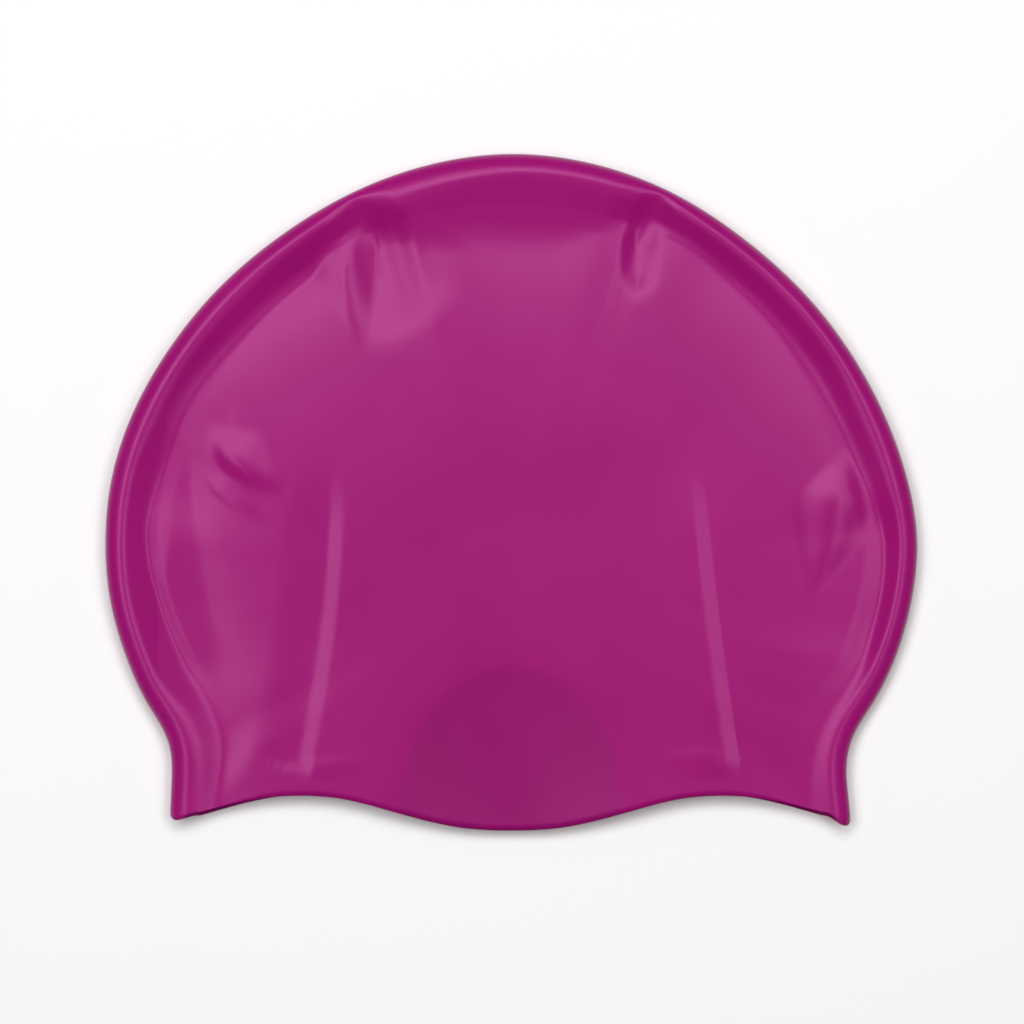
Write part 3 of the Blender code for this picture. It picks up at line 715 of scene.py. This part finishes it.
class CapSettings(bpy.types.PropertyGroup):
    """Sizes and finish of the cap."""

    wall: bpy.props.FloatProperty(
        name="Wall", description="Thickness of the silicone", default=0.8 * MM, unit="LENGTH", precision=5
    )
    grain: bpy.props.FloatProperty(
        name="Grain",
        description="Size of the moulded grain. The mould leaves 0.05 mm, drawn coarser so that it shows",
        default=0.5 * MM,
        unit="LENGTH",
        precision=5,
    )
    roughness: bpy.props.FloatProperty(
        name="Roughness", description="How wide the satin sheen spreads", default=0.32, min=0.0, max=1.0
    )
    colour: bpy.props.StringProperty(
        name="Colour", description="Colour of the silicone, sRGB hex", default="990D6C"
    )
    gloss_colour: bpy.props.StringProperty(
        name="Sheen colour", description="Colour that the sheen keeps, sRGB hex", default="FFADEC"
    )


class StageSettings(bpy.types.PropertyGroup):
    """Floor, softboxes and camera."""

    floor_colour: bpy.props.StringProperty(
        name="Floor", description="Colour of the floor, sRGB hex", default="F7F7F7"
    )
    floor_size: bpy.props.FloatProperty(
        name="Floor size", description="Side of the floor", default=6.0, unit="LENGTH"
    )
    power: bpy.props.FloatProperty(name="Power", description="Power of a full softbox, in watts", default=6.4)
    softbox: bpy.props.FloatProperty(
        name="Softbox", description="Side of each square softbox", default=0.55, unit="LENGTH"
    )
    distance: bpy.props.FloatProperty(
        name="Distance", description="From the cap to each softbox", default=1.6, unit="LENGTH"
    )
    elevation: bpy.props.FloatProperty(
        name="Elevation",
        description="Height of the softboxes above the horizon",
        default=math.radians(64),
        subtype="ANGLE",
    )
    fill: bpy.props.FloatProperty(name="Fill", description="Even light from all round", default=0.1)
    camera_height: bpy.props.FloatProperty(
        name="Camera height",
        description="Height of the camera straight above the cap",
        default=1.508,
        unit="LENGTH",
    )


class SWIMCAP_OT_cap(bpy.types.Operator):
    """Builds the moulded silicone cap, with its dents, ribs and wall, in place of the CAD solid"""

    bl_idname = "swim_cap.cap"
    bl_label = "Cap"

    def execute(self, context):
        settings = context.scene.swim_cap
        finish = silicone(settings.colour, settings.gloss_colour, settings.roughness, settings.grain)
        piece = bpy.data.objects.new("swim_cap", cap_sheet(cap_surface()))
        context.scene.collection.objects.link(piece)
        piece.data.materials.append(finish)
        tree = moulded_line()
        for row in LINES:
            press_line(piece, tree, row, finish)
        wall = piece.modifiers.new("wall", "SOLIDIFY")
        wall.thickness = settings.wall
        wall.offset = -1.0
        wall.use_even_offset = True
        made_plain(piece)
        if len(piece.data.polygons) == 0:
            raise RuntimeError("the cap came out empty")
        piece.data.attributes.remove(piece.data.attributes[TAKES])
        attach(piece, BODY)
        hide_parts(CAD_NODE)
        return {"FINISHED"}


class SWIMCAP_OT_stage(bpy.types.Operator):
    """Lays the pale floor, hangs the softboxes and sets the camera straight above"""

    bl_idname = "swim_cap.stage"
    bl_label = "Stage"

    def execute(self, context):
        settings = context.scene.swim_cap_stage
        scene = context.scene
        half = settings.floor_size / 2
        mesh = bpy.data.meshes.new("floor")
        corners = [(x * half, y * half, 0) for x, y in ((-1, -1), (1, -1), (1, 1), (-1, 1))]
        mesh.from_pydata(corners, [], [(0, 1, 2, 3)])
        floor = bpy.data.objects.new("floor", mesh)
        scene.collection.objects.link(floor)
        paper = bpy.data.materials.new("matt_paper")
        paper.use_nodes = True
        shader = paper.node_tree.nodes["Principled BSDF"]
        shader.inputs["Base Color"].default_value = (*linear(settings.floor_colour), 1.0)
        shader.inputs["Roughness"].default_value = 0.9
        shader.inputs["Specular IOR Level"].default_value = 0.1
        mesh.materials.append(paper)
        world = bpy.data.worlds.new("studio")
        world.use_nodes = True
        world.node_tree.nodes["Background"].inputs["Color"].default_value = (1.0, 1.0, 1.0, 1.0)
        world.node_tree.nodes["Background"].inputs["Strength"].default_value = settings.fill
        scene.world = world
        for name, degrees, share in SOFTBOXES:
            turn = math.radians(degrees)
            level = math.cos(settings.elevation)
            place = Vector((math.cos(turn) * level, math.sin(turn) * level, math.sin(settings.elevation)))
            light = bpy.data.lights.new(name, "AREA")
            light.size = settings.softbox
            light.energy = settings.power * share
            box = bpy.data.objects.new(name, light)
            box.location = place * settings.distance
            box.rotation_euler = (-place).to_track_quat("-Z", "Y").to_euler()
            box.visible_camera = False
            scene.collection.objects.link(box)
        camera = bpy.data.objects.new("camera", bpy.data.cameras.new("camera"))
        camera.location = (*FRAME_MIDDLE, settings.camera_height)
        camera.data.sensor_width = SENSOR
        camera.data.lens = SENSOR * (settings.camera_height - FRAME_LEVEL) / FRAME_WIDTH
        camera.data.clip_end = 10.0
        scene.collection.objects.link(camera)
        scene.camera = camera
        scene.view_settings.view_transform = "Standard"
        return {"FINISHED"}


class SWIMCAP_PT_panel(bpy.types.Panel):
    """Lists the steps that build the cap"""

    bl_idname = "SWIMCAP_PT_panel"
    bl_label = "Swim cap"
    bl_space_type = "VIEW_3D"
    bl_region_type = "UI"
    bl_category = "Swim cap"

    def draw(self, context):
        for settings, operator in (
            (context.scene.swim_cap, SWIMCAP_OT_cap),
            (context.scene.swim_cap_stage, SWIMCAP_OT_stage),
        ):
            box = self.layout.box()
            for name in settings.__annotations__:
                box.prop(settings, name)
            box.operator(operator.bl_idname)


CLASSES = (CapSettings, StageSettings, SWIMCAP_OT_cap, SWIMCAP_OT_stage, SWIMCAP_PT_panel)


def register():
    for kind in CLASSES:
        bpy.utils.register_class(kind)
    bpy.types.Scene.swim_cap = bpy.props.PointerProperty(type=CapSettings)
    bpy.types.Scene.swim_cap_stage = bpy.props.PointerProperty(type=StageSettings)


def unregister():
    del bpy.types.Scene.swim_cap_stage
    del bpy.types.Scene.swim_cap
    for kind in reversed(CLASSES):
        bpy.utils.unregister_class(kind)


def main():
    register()
    bpy.ops.swim_cap.cap()
    bpy.ops.swim_cap.stage()


if __name__ == "__main__":
    main()
